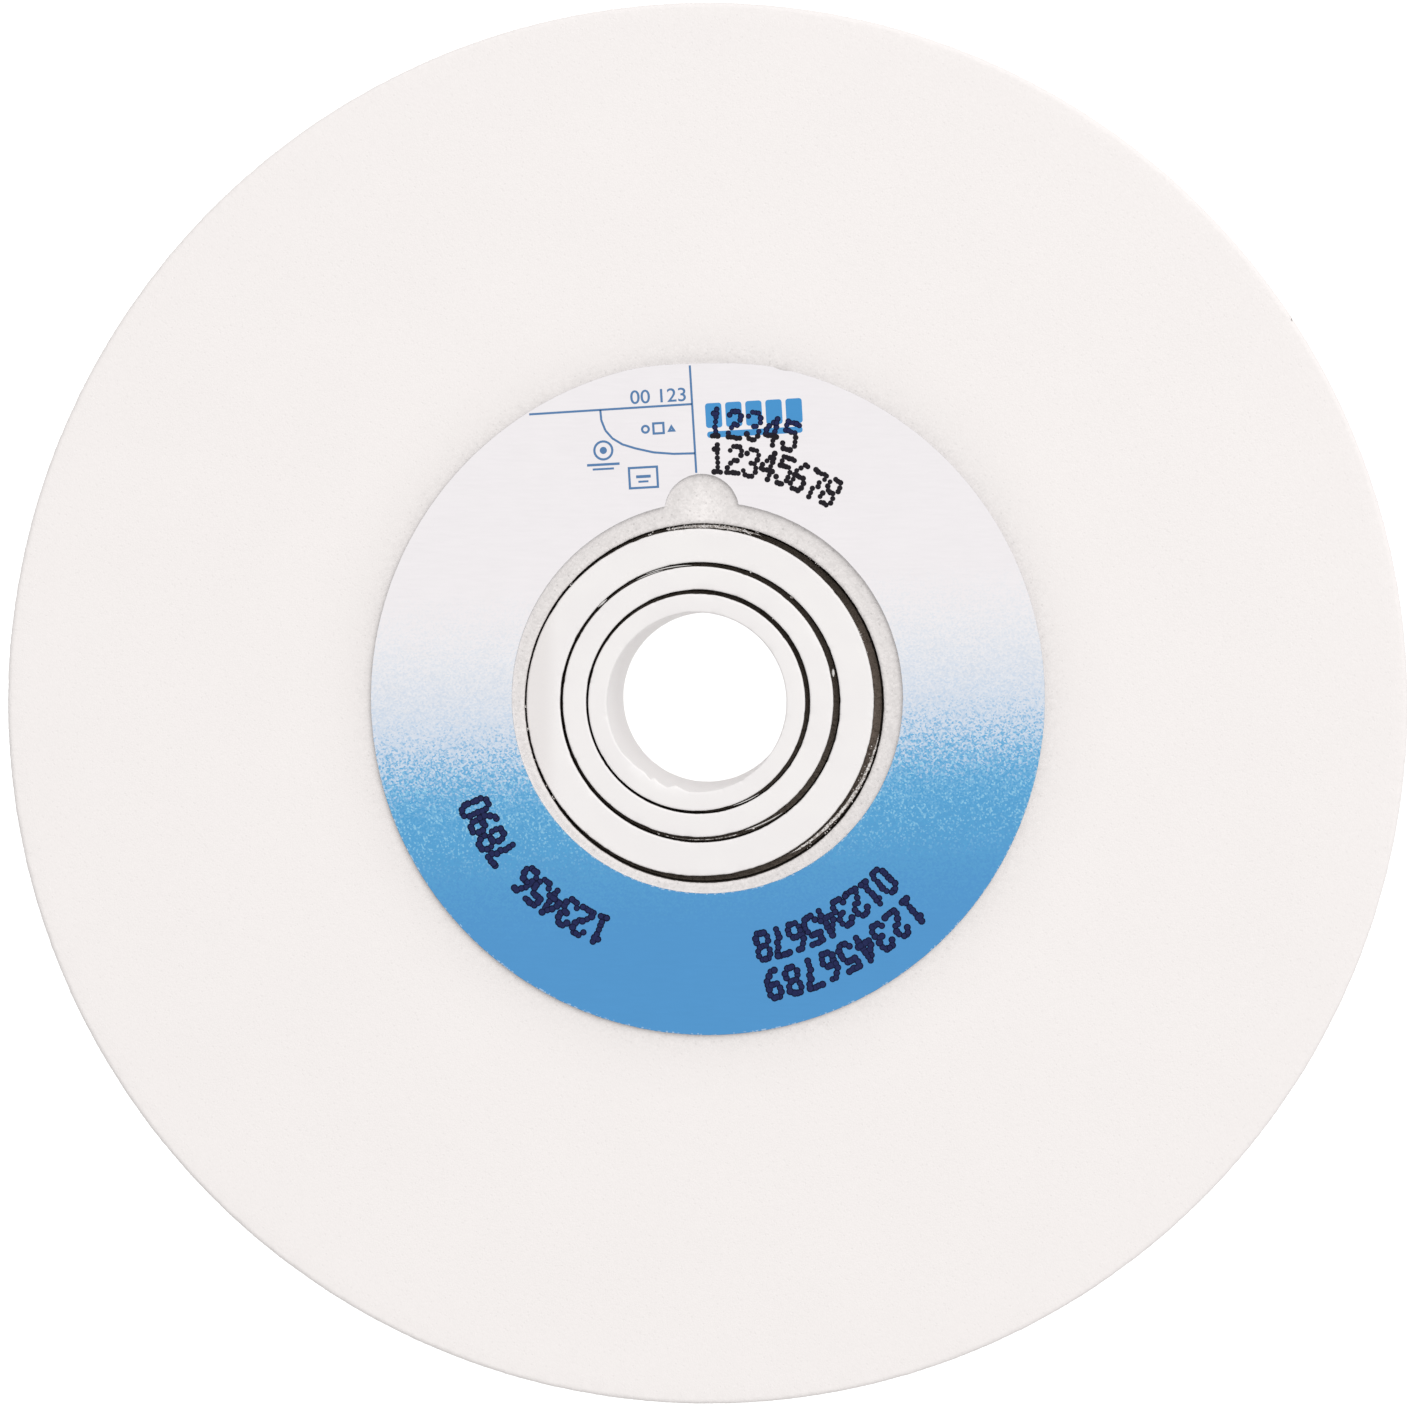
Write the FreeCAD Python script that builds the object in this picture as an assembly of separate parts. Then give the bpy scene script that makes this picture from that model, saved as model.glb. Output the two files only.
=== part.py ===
import FreeCAD, Part
import math
import os

# Bench grinding wheel: a straight wheel of white abrasive with a paper blotter on each face and three
# loose reduction rings in its bore, nested one in another so that the wheel fits four sizes of spindle.
# The wheel lies flat with its printed face up and its axis along +Z. The origin is on the wheel's axis,
# at the height of the surface that it lies on. All sizes are in millimetres and angles in degrees.

# Wheel body: fused white alumina grain, pressed with a clay bond and fired in one piece.
wheel_diameter = 125.0
wheel_width = 20.0
wheel_bore = 32.0
rim_corner_radius = 0.5
bore_edge_break = 0.3

# Blotters: soft paper washers, stamped by one die, that the spindle's flanges press on. The hole leaves
# a strip of bare grain of this width all round the wheel's bore.
blotter_diameter = 60.0
blotter_thickness = 0.4
bare_strip_width = 1.4

# The half-round notch in the hole of each blotter, and the small rounds at its two mouth corners.
notch_radius = 3.3
notch_inset = 0.8
notch_mouth_radius = 0.25

# How far off the wheel's axis the front blotter was glued, and how far it is turned. The rear one is true.
front_blotter_shift_x = 0.32
front_blotter_shift_y = 0.52
front_blotter_turn = 1.6

# Reduction rings: moulded plastic sleeves as long as the wheel is wide, with lightly broken edges. With
# these walls and clearances their bores come to 25, 20 and 16, which are common sizes of spindle.
large_ring_wall = 3.02
middle_ring_wall = 2.08
small_ring_wall = 1.69
ring_edge_break = 0.15

# Radial clearance of each ring in the hole around it.
large_ring_clearance = 0.48
middle_ring_clearance = 0.42
small_ring_clearance = 0.31

# Each ring rests off centre in its hole: the share of its clearance that it has moved, and which way.
large_ring_lean = 0.79
large_ring_lean_direction = 170.5
middle_ring_lean = 0.45
middle_ring_lean_direction = 163.0
small_ring_lean = 0.42
small_ring_lean_direction = 200.0

# Worked out from the sizes above. The rear blotter lies on the surface, with the wheel on top of it.
wheel_bottom = blotter_thickness
wheel_top = wheel_bottom + wheel_width
blotter_hole_radius = wheel_bore / 2 + bare_strip_width
notch_centre_radius = blotter_hole_radius - notch_inset
ring_length = wheel_width

Z_AXIS = FreeCAD.Vector(0, 0, 1)


def cylinder(radius, height, centre):
    """An upright cylinder that stands on the point given as its centre."""
    return Part.makeCylinder(radius, height, centre, Z_AXIS)


def sleeve(outer_radius, bore_radius, length, centre):
    """An upright tube that stands on the point given as its centre."""
    return cylinder(outer_radius, length, centre).cut(cylinder(bore_radius, length, centre))


def round_edges(solid, radius):
    """The circular edges of a solid that have one radius."""
    circles = [edge for edge in solid.Edges if isinstance(edge.Curve, Part.Circle)]
    return [edge for edge in circles if math.isclose(edge.Curve.Radius, radius, rel_tol=1e-6)]


def make_wheel_body():
    """The fired wheel, with worn corners round its rim and broken edges at its bore."""
    foot = FreeCAD.Vector(0, 0, wheel_bottom)
    body = sleeve(wheel_diameter / 2, wheel_bore / 2, wheel_width, foot)
    body = body.makeFillet(rim_corner_radius, round_edges(body, wheel_diameter / 2))
    return body.makeChamfer(bore_edge_break, round_edges(body, wheel_bore / 2))


def three_point_arc(start, middle, end):
    """The edge of a circular arc through three points."""
    return Part.Arc(start, middle, end).toShape()


def blotter_hole_outline(bottom):
    """The closed outline of the hole with its notch: two large arcs joined by a small round at each mouth."""
    notch_centre = FreeCAD.Vector(0, notch_centre_radius, bottom)
    hole_centre = FreeCAD.Vector(0, 0, bottom)
    from_hole = blotter_hole_radius + notch_mouth_radius
    from_notch = notch_radius + notch_mouth_radius
    mouth_y = (from_hole**2 - from_notch**2 + notch_centre_radius**2) / (2 * notch_centre_radius)
    mouth_x = math.sqrt(from_hole**2 - mouth_y**2)
    on_hole = []
    on_mouth = []
    on_notch = []
    for side in (-1, 1):
        mouth_centre = FreeCAD.Vector(side * mouth_x, mouth_y, bottom)
        to_hole = (hole_centre - mouth_centre).normalize()
        to_notch = (notch_centre - mouth_centre).normalize()
        between = (to_hole + to_notch).normalize()
        on_hole.append(mouth_centre + to_hole * notch_mouth_radius)
        on_mouth.append(mouth_centre + between * notch_mouth_radius)
        on_notch.append(mouth_centre + to_notch * notch_mouth_radius)
    notch_top = FreeCAD.Vector(0, notch_centre_radius + notch_radius, bottom)
    hole_foot = FreeCAD.Vector(0, -blotter_hole_radius, bottom)
    return Part.Wire([
        three_point_arc(on_hole[0], hole_foot, on_hole[1]),
        three_point_arc(on_hole[1], on_mouth[1], on_notch[1]),
        three_point_arc(on_notch[1], notch_top, on_notch[0]),
        three_point_arc(on_notch[0], on_mouth[0], on_hole[0]),
    ])


def make_blotter(bottom):
    """One stamped washer with its notch, lying at a height, true to the wheel's axis."""
    foot = FreeCAD.Vector(0, 0, bottom)
    thickness = FreeCAD.Vector(0, 0, blotter_thickness)
    hole = Part.Face(blotter_hole_outline(bottom)).extrude(thickness)
    return cylinder(blotter_diameter / 2, blotter_thickness, foot).cut(hole)


def make_front_blotter():
    """The washer on the wheel's upper face, turned and shifted as it was glued."""
    washer = make_blotter(wheel_top)
    washer.rotate(FreeCAD.Vector(0, 0, wheel_top), Z_AXIS, front_blotter_turn)
    washer.translate(FreeCAD.Vector(front_blotter_shift_x, front_blotter_shift_y, 0))
    return washer


def make_ring(outer_radius, bore_radius, centre):
    """A reduction ring that stands on the surface, with its four edges broken."""
    ring = sleeve(outer_radius, bore_radius, ring_length, centre)
    edges = round_edges(ring, outer_radius) + round_edges(ring, bore_radius)
    return ring.makeChamfer(ring_edge_break, edges)


def make_rings():
    """The nested rings from the largest inwards, each leaning in the hole of the one before it."""
    sizes = [
        ("large_reduction_ring", large_ring_wall, large_ring_clearance,
         large_ring_lean, large_ring_lean_direction),
        ("middle_reduction_ring", middle_ring_wall, middle_ring_clearance,
         middle_ring_lean, middle_ring_lean_direction),
        ("small_reduction_ring", small_ring_wall, small_ring_clearance,
         small_ring_lean, small_ring_lean_direction),
    ]
    rings = {}
    hole_radius = wheel_bore / 2
    centre = FreeCAD.Vector(0, 0, 0)
    for name, wall, clearance, lean, direction in sizes:
        angle = math.radians(direction)
        centre = centre + FreeCAD.Vector(math.cos(angle), math.sin(angle), 0) * (lean * clearance)
        outer_radius = hole_radius - clearance
        hole_radius = outer_radius - wall
        rings[name] = make_ring(outer_radius, hole_radius, centre)
    return rings


parts = {
    "wheel_body": make_wheel_body(),
    "front_blotter": make_front_blotter(),
    "rear_blotter": make_blotter(0),
}
parts.update(make_rings())

os.makedirs("parts", exist_ok=True)
for node, shape in parts.items():
    shape.exportStep("parts/" + node + ".step")
    print(node, "solids:", len(shape.Solids), "valid:", shape.isValid(), "mm3:", round(shape.Volume, 1))
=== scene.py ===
import math
import random
import bpy
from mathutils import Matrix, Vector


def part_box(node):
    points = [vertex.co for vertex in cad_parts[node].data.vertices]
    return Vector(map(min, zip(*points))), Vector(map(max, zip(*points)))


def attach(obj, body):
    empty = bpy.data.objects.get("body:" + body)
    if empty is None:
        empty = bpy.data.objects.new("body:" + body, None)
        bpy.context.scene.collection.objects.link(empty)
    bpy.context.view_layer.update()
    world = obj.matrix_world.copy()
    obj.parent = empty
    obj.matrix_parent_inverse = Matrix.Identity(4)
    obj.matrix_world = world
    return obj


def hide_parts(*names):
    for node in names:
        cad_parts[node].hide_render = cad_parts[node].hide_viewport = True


# The looks of a bench grinding wheel that lies flat with its printed face up, in metres, in the part's own
# frame. The sections follow the wheel as it is put together: the fired body, the paper washer on each face,
# the print, the loose rings in the bore, and what has come to lie in the gaps between them.

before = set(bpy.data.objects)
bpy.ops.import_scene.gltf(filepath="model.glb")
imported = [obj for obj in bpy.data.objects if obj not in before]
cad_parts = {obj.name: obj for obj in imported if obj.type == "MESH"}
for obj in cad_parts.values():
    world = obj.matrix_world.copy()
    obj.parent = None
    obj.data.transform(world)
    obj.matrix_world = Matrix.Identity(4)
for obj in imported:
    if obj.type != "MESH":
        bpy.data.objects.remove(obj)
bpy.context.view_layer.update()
MM = 0.001


# Wheel body: fused white alumina grain, pressed with a clay bond and fired in one piece. Its corners have
# crumbled grain by grain. Round the paper washer the grain is greyed, partly by glue and partly as painted
# shade.
# The bare strip in the washer's hole, the bore wall and a chip on the rim carry painted shade too.
wheel_low, wheel_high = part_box("wheel_body")
wheel_radius = wheel_high.x
wheel_face = wheel_high.z
wheel_bore_radius = 16.0 * MM
rim_round = 0.5 * MM
chip_turn = math.radians(33.1)
chip_reach = 0.17 * MM
rim_row = 0.6 * MM
bore_break = 0.3 * MM
bore_row = 0.4 * MM
wheel_steps = 2200
grain_size = 0.18 * MM
NEAR = 0.001 * MM

grain_white = (0.905, 0.862, 0.846, 1)
# Painted shade for the walls in the gaps and in the wheel's bore.
gap_shade_brown = (0.052, 0.040, 0.032, 1)
chip_shade_grey = (0.40, 0.36, 0.35, 1)


def set_down():
    """Leaves edit mode with nothing selected."""
    if bpy.context.object and bpy.context.object.mode != "OBJECT":
        bpy.ops.object.mode_set(mode="OBJECT")
    bpy.ops.object.select_all(action="DESELECT")


def take_up(piece):
    """Selects one piece alone, ready for an operator."""
    set_down()
    piece.select_set(True)
    bpy.context.view_layer.objects.active = piece


def choose(piece, test, mode="VERT"):
    """Selects, in edit mode, the vertices whose place passes a test, and the edges and faces between them."""
    take_up(piece)
    mesh = piece.data
    for vertex in mesh.vertices:
        vertex.select = bool(test(vertex.co))
    for part in list(mesh.edges) + list(mesh.polygons):
        part.select = all(mesh.vertices[index].select for index in part.vertices)
    bpy.ops.object.mode_set(mode="EDIT")
    bpy.ops.mesh.select_mode(type=mode)


def draw_section(name, inner, outer, bottom, top):
    """A rectangle in the XZ plane: the section of a turned piece, from its bore to its outside."""
    set_down()
    middle = ((inner + outer) / 2, 0, (bottom + top) / 2)
    bpy.ops.mesh.primitive_plane_add(size=1, location=middle, rotation=(math.pi / 2, 0, 0))
    piece = bpy.context.object
    piece.name = name
    piece.scale = (outer - inner, top - bottom, 1)
    bpy.ops.object.transform_apply()
    return piece


def round_corners(piece, radius, row, size, segments):
    """Rounds the two corners of a section at one radius, after adding rows of points beside each."""
    heights = [min(v.co.z for v in piece.data.vertices), max(v.co.z for v in piece.data.vertices)]

    def is_corner(place):
        return abs(place.x - radius) < NEAR and min(abs(place.z - height) for height in heights) < NEAR

    choose(piece, is_corner)
    bpy.ops.mesh.bevel(offset=3 * row, segments=6, profile=1.0, affect="VERTICES")
    choose(piece, is_corner)
    bpy.ops.mesh.bevel(offset=size, segments=segments, profile=0.5, affect="VERTICES")


def weld(piece, reach=NEAR):
    """Merges the points of a piece that lie together and points its faces outwards."""
    choose(piece, lambda place: True)
    bpy.ops.mesh.remove_doubles(threshold=reach)
    bpy.ops.mesh.normals_make_consistent(inside=False)
    bpy.ops.object.mode_set(mode="OBJECT")


def move_chosen(x, y, z, **settings):
    """Moves what is selected in edit mode, and leaves edit mode."""
    bpy.ops.transform.translate(value=(x, y, z), **settings)
    bpy.ops.object.mode_set(mode="OBJECT")


def turn_section(piece, steps):
    """Turns a section once round the upright axis, closes the seam and points the faces outwards."""
    choose(piece, lambda place: True)
    bpy.ops.mesh.delete(type="ONLY_FACE")
    bpy.ops.object.mode_set(mode="OBJECT")
    bpy.ops.object.modifier_add(type="SCREW")
    screw = piece.modifiers[-1]
    screw.steps = steps
    screw.render_steps = steps
    screw.use_merge_vertices = True
    screw.merge_threshold = NEAR
    bpy.ops.object.modifier_apply(modifier=screw.name)
    weld(piece)


def wear(piece, name, weigh, kind, size, depth, direction="NORMAL", contrast=1.0, brightness=1.0):
    """Eats into a piece by a texture, as deep as a weight from 0 to 1 at each place allows."""
    take_up(piece)
    group = piece.vertex_groups.new(name=name)
    for vertex in piece.data.vertices:
        weight = weigh(vertex.co)
        if weight > 0:
            group.add([vertex.index], min(weight, 1.0), "REPLACE")
    texture = bpy.data.textures.new(name, kind)
    texture.noise_scale = size
    texture.contrast = contrast
    texture.intensity = brightness
    texture.use_clamp = True
    bpy.ops.object.modifier_add(type="DISPLACE")
    displace = piece.modifiers[-1]
    displace.texture = texture
    displace.texture_coords = "LOCAL"
    displace.vertex_group = name
    displace.direction = direction
    displace.mid_level = 0
    displace.strength = -depth
    bpy.ops.object.modifier_apply(modifier=displace.name)
    piece.vertex_groups.remove(piece.vertex_groups[name])


def near_corner(place, radius, row, bottom, top):
    """How near a point is to a corner at one radius: 1 at it, down to 0 two rows of points off."""
    out = math.hypot(place.x, place.y) - radius
    up = min(abs(place.z - bottom), abs(place.z - top))
    return 1 - math.hypot(out, up) / (2 * row)


def node(tree, kind, inputs=None, **settings):
    """Adds a shader node, and sets its properties and its inputs, or links them to other sockets."""
    new = tree.nodes.new(kind)
    for name, value in settings.items():
        setattr(new, name, value)
    for socket, value in (inputs or {}).items():
        if isinstance(value, bpy.types.NodeSocket):
            tree.links.new(value, new.inputs[socket])
        else:
            new.inputs[socket].default_value = value
    return new


def calculate(tree, operation, *values):
    """The result of a Math node on two or three values or sockets."""
    return node(tree, "ShaderNodeMath", dict(enumerate(values)), operation=operation).outputs[0]


def scale_add(tree, value, factor, added):
    """A value times a factor, with another added."""
    return calculate(tree, "MULTIPLY_ADD", value, factor, added)


def rise(tree, value, start, end, low=0.0, high=1.0, course="SMOOTHSTEP"):
    """A value that goes smoothly from low to high as another goes from start to end."""
    inputs = {"Value": value, "From Min": start, "From Max": end, "To Min": low, "To Max": high}
    return node(tree, "ShaderNodeMapRange", inputs, interpolation_type=course).outputs["Result"]


def mix_colours(tree, share, first, second, blend="MIX"):
    """The second colour laid over the first by a share from 0 to 1."""
    inputs = {0: share, 6: first, 7: second}
    return node(tree, "ShaderNodeMix", inputs, data_type="RGBA", blend_type=blend).outputs[2]


def ramp(tree, value, stops):
    """Colours that follow a value, through a few stops of place and colour."""
    new = node(tree, "ShaderNodeValToRGB", {0: value})
    elements = new.color_ramp.elements
    while len(elements) < len(stops):
        elements.new(0.5)
    for element, (position, colour) in zip(elements, stops):
        element.position = position
        element.color = colour
    return new.outputs["Color"]


def shade(value):
    """A grey of one value, as a colour."""
    return (value, value, value, 1)


def grey_ramp(tree, value, start, end, stops):
    """Greys that follow a value as it goes from start to end, through a few stops of share and tone."""
    share = rise(tree, value, start, end, course="LINEAR")
    return ramp(tree, share, [(position, shade(tone)) for position, tone in stops])


def dim(tree, colour, tone):
    """A colour darkened by a tone from 0 to 1."""
    grey = node(tree, "ShaderNodeCombineColor", {0: tone, 1: tone, 2: tone})
    return mix_colours(tree, 1.0, colour, grey.outputs[0], "MULTIPLY")


def object_place(tree):
    """The place of each point on the piece, in the piece's own frame."""
    return node(tree, "ShaderNodeTexCoord").outputs["Object"]


def along_axis(tree, vector, axis):
    """One component of a vector."""
    return node(tree, "ShaderNodeSeparateXYZ", {0: vector}).outputs[axis]


def noise(tree, place, size, detail=2.0):
    """Soft noise of one size, from 0 to 1."""
    inputs = {"Vector": place, "Scale": 1 / size, "Detail": detail}
    return node(tree, "ShaderNodeTexNoise", inputs).outputs["Fac"]


def cells(tree, place, size):
    """A pattern of cells of one size."""
    return node(tree, "ShaderNodeTexVoronoi", {"Vector": place, "Scale": 1 / size})


def cell_values(tree, pattern):
    """Three random values for each cell of a pattern."""
    return node(tree, "ShaderNodeSeparateColor", {0: pattern.outputs["Color"]}).outputs


def distance_from(tree, place, x=0.0, y=0.0):
    """How far each point is from an upright line."""
    flat = node(tree, "ShaderNodeVectorMath", {0: place, 1: (1, 1, 0)}, operation="MULTIPLY")
    offset = node(tree, "ShaderNodeVectorMath", {0: flat.outputs[0], 1: (x, y, 0)}, operation="SUBTRACT")
    return node(tree, "ShaderNodeVectorMath", {0: offset.outputs[0]}, operation="LENGTH").outputs["Value"]


def start_group(name, inputs, outputs):
    """An empty shader group with named sockets, and its tree, input node and output node."""
    group = bpy.data.node_groups.new(name, "ShaderNodeTree")
    for socket, kind, value in inputs:
        group.interface.new_socket(socket, in_out="INPUT", socket_type=kind).default_value = value
    for socket, kind in outputs:
        group.interface.new_socket(socket, in_out="OUTPUT", socket_type=kind)
    return group, group.nodes.new("NodeGroupInput"), group.nodes.new("NodeGroupOutput")


def place_group(tree, group, inputs=None):
    """A shader group set into a material, with its own values."""
    return node(tree, "ShaderNodeGroup", inputs, node_tree=group)


def start_material(name, roughness=0.6, specular=0.5):
    """A new material with its tree and its shader."""
    material = bpy.data.materials.new(name)
    material.use_nodes = True
    shader = material.node_tree.nodes["Principled BSDF"]
    shader.inputs["Roughness"].default_value = roughness
    shader.inputs["Specular IOR Level"].default_value = specular
    return material, material.node_tree, shader


def paint(tree, shader, colour):
    """Gives a shader its colour."""
    tree.links.new(colour, shader.inputs["Base Color"])


def emboss(tree, shader, height, depth, strength):
    """Gives a shader the relief of a height."""
    bump = node(tree, "ShaderNodeBump", {"Height": height, "Distance": depth, "Strength": strength})
    tree.links.new(bump.outputs["Normal"], shader.inputs["Normal"])


def make_grain_group():
    """Sharp fused grain: a colour that varies grain by grain, open pores, relief and gloss."""
    group, inputs, outputs = start_group(
        "Fused grain",
        [("Colour", "NodeSocketColor", grain_white), ("Contrast", "NodeSocketFloat", 1.0)],
        [("Colour", "NodeSocketColor"), ("Height", "NodeSocketFloat"), ("Roughness", "NodeSocketFloat")],
    )
    place = object_place(group)
    grains = cells(group, place, grain_size)
    each = cell_values(group, grains)
    clumps = noise(group, place, 0.7 * MM, 3.0)
    clouds = noise(group, place, 9 * MM)
    pore = rise(group, cells(group, place, 0.55 * MM).outputs["Distance"], 0.24, 0.08)
    tone = scale_add(group, each[0], 0.04, -0.045)
    tone = scale_add(group, clumps, 0.05, tone)
    # Painted shade: the open pores are darkened in colour, as well as sunk in the relief below.
    tone = scale_add(group, pore, -0.05, tone)
    tone = scale_add(group, tone, inputs.outputs["Contrast"], 0.99)
    tone = scale_add(group, clouds, 0.02, tone)
    colour = dim(group, inputs.outputs["Colour"], tone)
    height = scale_add(group, grains.outputs["Distance"], -0.6, 1.0)
    height = scale_add(group, each[1], 0.5, height)
    height = scale_add(group, pore, -0.8, height)
    gloss = rise(group, each[2], 0.0, 1.0, 0.5, 0.9)
    group.links.new(colour, outputs.inputs["Colour"])
    group.links.new(height, outputs.inputs["Height"])
    group.links.new(gloss, outputs.inputs["Roughness"])
    return group


def make_wall_shade_group():
    """Where painted shade goes: upright walls between two radii, stopping short of the faces above and below.
    """
    group, inputs, outputs = start_group(
        "Wall painted shade",
        [("From Radius", "NodeSocketFloat", 0.0), ("To Radius", "NodeSocketFloat", 1.0),
         ("Shade Top", "NodeSocketFloat", wheel_face)],
        [("Mask", "NodeSocketFloat")],
    )
    coordinates = node(group, "ShaderNodeTexCoord")
    place = coordinates.outputs["Object"]
    up = along_axis(group, coordinates.outputs["Normal"], "Z")
    upright = rise(group, calculate(group, "ABSOLUTE", up), 0.8, 0.45)
    height = along_axis(group, place, "Z")
    below = calculate(group, "SUBTRACT", inputs.outputs["Shade Top"], height)
    ragged = noise(group, place, 0.4 * MM)
    below = scale_add(group, ragged, -0.2 * MM, below)
    under = rise(group, below, -0.1 * MM, 0.1 * MM)
    above_floor = rise(group, height, 0.1 * MM, 0.5 * MM)
    radius = distance_from(group, place)
    inside = calculate(group, "GREATER_THAN", radius, inputs.outputs["From Radius"])
    outside = calculate(group, "LESS_THAN", radius, inputs.outputs["To Radius"])
    mask = calculate(group, "MULTIPLY", calculate(group, "MULTIPLY", upright, under), above_floor)
    mask = calculate(group, "MULTIPLY", calculate(group, "MULTIPLY", inside, outside), mask)
    group.links.new(mask, outputs.inputs["Mask"])
    return group


grain_group = make_grain_group()
wall_shade_group = make_wall_shade_group()
washer_low, washer_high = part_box("front_blotter")
washer_x = (washer_low.x + washer_high.x) / 2
washer_y = (washer_low.y + washer_high.y) / 2
washer_radius = (washer_high.x - washer_low.x) / 2
hole_radius = 17.4 * MM
notch_radius = 3.3 * MM
notch_centre = 16.6 * MM
front_turn = math.radians(1.6)

wheel = draw_section("fired_wheel", wheel_bore_radius, wheel_radius, wheel_low.z, wheel_face)
round_corners(wheel, wheel_radius, rim_row, rim_round, 5)
round_corners(wheel, wheel_bore_radius, bore_row, bore_break, 4)
turn_section(wheel, wheel_steps)


def near_wheel_corners(place):
    """How near a point of the wheel is to a corner of its rim or bore."""
    rim = near_corner(place, wheel_radius, rim_row, wheel_low.z, wheel_face)
    return max(rim, near_corner(place, wheel_bore_radius, bore_row, wheel_low.z, wheel_face))


wear(wheel, "crumbled grain", near_wheel_corners, "VORONOI", 1.3 * grain_size, 0.07 * MM)
wear(wheel, "crumbled clumps", near_wheel_corners, "CLOUDS", 1.1 * MM, 0.05 * MM, contrast=2.0)
chip_x = (wheel_radius - 0.15 * MM) * math.cos(chip_turn)
chip_y = (wheel_radius - 0.15 * MM) * math.sin(chip_turn)
choose(wheel, lambda p: math.hypot(p.x - chip_x, p.y - chip_y) < chip_reach and p.z > wheel_face - MM)
move_chosen(-0.08 * MM, -0.05 * MM, -0.12 * MM)
bpy.ops.object.shade_smooth_by_angle(angle=math.radians(40))

wheel_material, tree, shader = start_material("White fused grain")
place = object_place(tree)
from_washer = distance_from(tree, place, washer_x, washer_y)
notch_x = washer_x - notch_centre * math.sin(front_turn)
notch_y = washer_y + notch_centre * math.cos(front_turn)
inside_hole = calculate(tree, "SUBTRACT", hole_radius, from_washer)
inside_notch = calculate(tree, "SUBTRACT", notch_radius, distance_from(tree, place, notch_x, notch_y))
bared = calculate(tree, "MAXIMUM", inside_hole, inside_notch)
# Painted shade, partly glue: the grain is greyer close round the paper washer, fading out over a few
# millimetres.
glue_and_shade_halo = grey_ramp(tree, from_washer, washer_radius - 1 * MM, washer_radius + 7 * MM, (
    (0.00, 1.0), (0.12, 0.82), (0.17, 0.885), (0.225, 0.925),
    (0.30, 0.95), (0.40, 0.968), (0.56, 0.985), (0.90, 1.0),
))
# Painted shade: the bared grain in the paper's hole and notch is greyer, darkest beside the paper's edge.
strip = grey_ramp(tree, bared, -0.3 * MM, 3.7 * MM, (
    (0.02, 1.0), (0.07, 0.88), (0.11, 0.85), (0.20, 0.835), (0.33, 0.85), (0.58, 0.94), (0.90, 0.98),
))
tone = mix_colours(tree, 1.0, glue_and_shade_halo, strip, "MULTIPLY")
colour = mix_colours(tree, 1.0, grain_white, tone, "MULTIPLY")
beside_washer = rise(tree, from_washer, washer_radius + 2.5 * MM, washer_radius)
contrast = scale_add(tree, beside_washer, 1.6, 0.4)
contrast = scale_add(tree, rise(tree, bared, -0.1 * MM, 0.2 * MM), 1.2, contrast)
grain = place_group(tree, grain_group, {"Colour": colour, "Contrast": contrast})
# Painted shade: the wheel's bore wall is brown-black below its broken edge, standing for the shade in the
# gap.
gap_shade = place_group(tree, wall_shade_group, {
    "From Radius": wheel_bore_radius - MM,
    "To Radius": wheel_bore_radius + MM,
    "Shade Top": wheel_face - bore_break,
})
colour = mix_colours(tree, gap_shade.outputs["Mask"], grain.outputs["Colour"], gap_shade_brown)
# Painted shade: the chip's hollow on the rim is painted grey.
in_chip = rise(tree, distance_from(tree, place, chip_x, chip_y), chip_reach, 0.06 * MM)
colour = mix_colours(tree, in_chip, colour, chip_shade_grey)
paint(tree, shader, colour)
tree.links.new(grain.outputs["Roughness"], shader.inputs["Roughness"])
emboss(tree, shader, grain.outputs["Height"], 0.05 * MM, 0.3)
wheel.data.materials.append(wheel_material)

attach(wheel, "root")
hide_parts("wheel_body")


# Paper washers: blotting paper, stamped with a round hole and a half-round notch, and glued to each face of
# the wheel. The front one is turned a little, pressed flat at the top and slightly torn beside that.
mouth_round = 0.25 * MM
tear_x = 7.0 * MM
tear_y = 29.6 * MM
tear_reach = 0.8 * MM
fray_depth = 0.04 * MM
rim_points = 1200
hole_points = 720
notch_points = 144
crushed_edge = 0.03 * MM
print_room = 0.015 * MM
paper_white = (0.872, 0.852, 0.868, 1)
plain_cream = (0.80, 0.775, 0.73, 1)
speck_blue = (0.42, 0.74, 0.88, 1)
flaked_blue = (0.72, 0.80, 0.86, 1)
cut_side_shade = (0.60, 0.60, 0.62, 1)
cut_white = (0.78, 0.78, 0.80, 1)
print_slant = 0.055


def cut_away(piece, cutter):
    """Subtracts one piece from another and throws the cutter away."""
    take_up(piece)
    bpy.ops.object.modifier_add(type="BOOLEAN")
    cut = piece.modifiers[-1]
    cut.operation = "DIFFERENCE"
    cut.object = cutter
    bpy.ops.object.modifier_apply(modifier=cut.name)
    bpy.data.objects.remove(cutter)


def add_disc(name, radius, bottom, top, points, x=0.0, y=0.0):
    """An upright disc between two heights."""
    set_down()
    middle = (x, y, (bottom + top) / 2)
    bpy.ops.mesh.primitive_cylinder_add(vertices=points, radius=radius, depth=top - bottom, location=middle)
    piece = bpy.context.object
    piece.name = name
    bpy.ops.object.transform_apply()
    return piece


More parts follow.
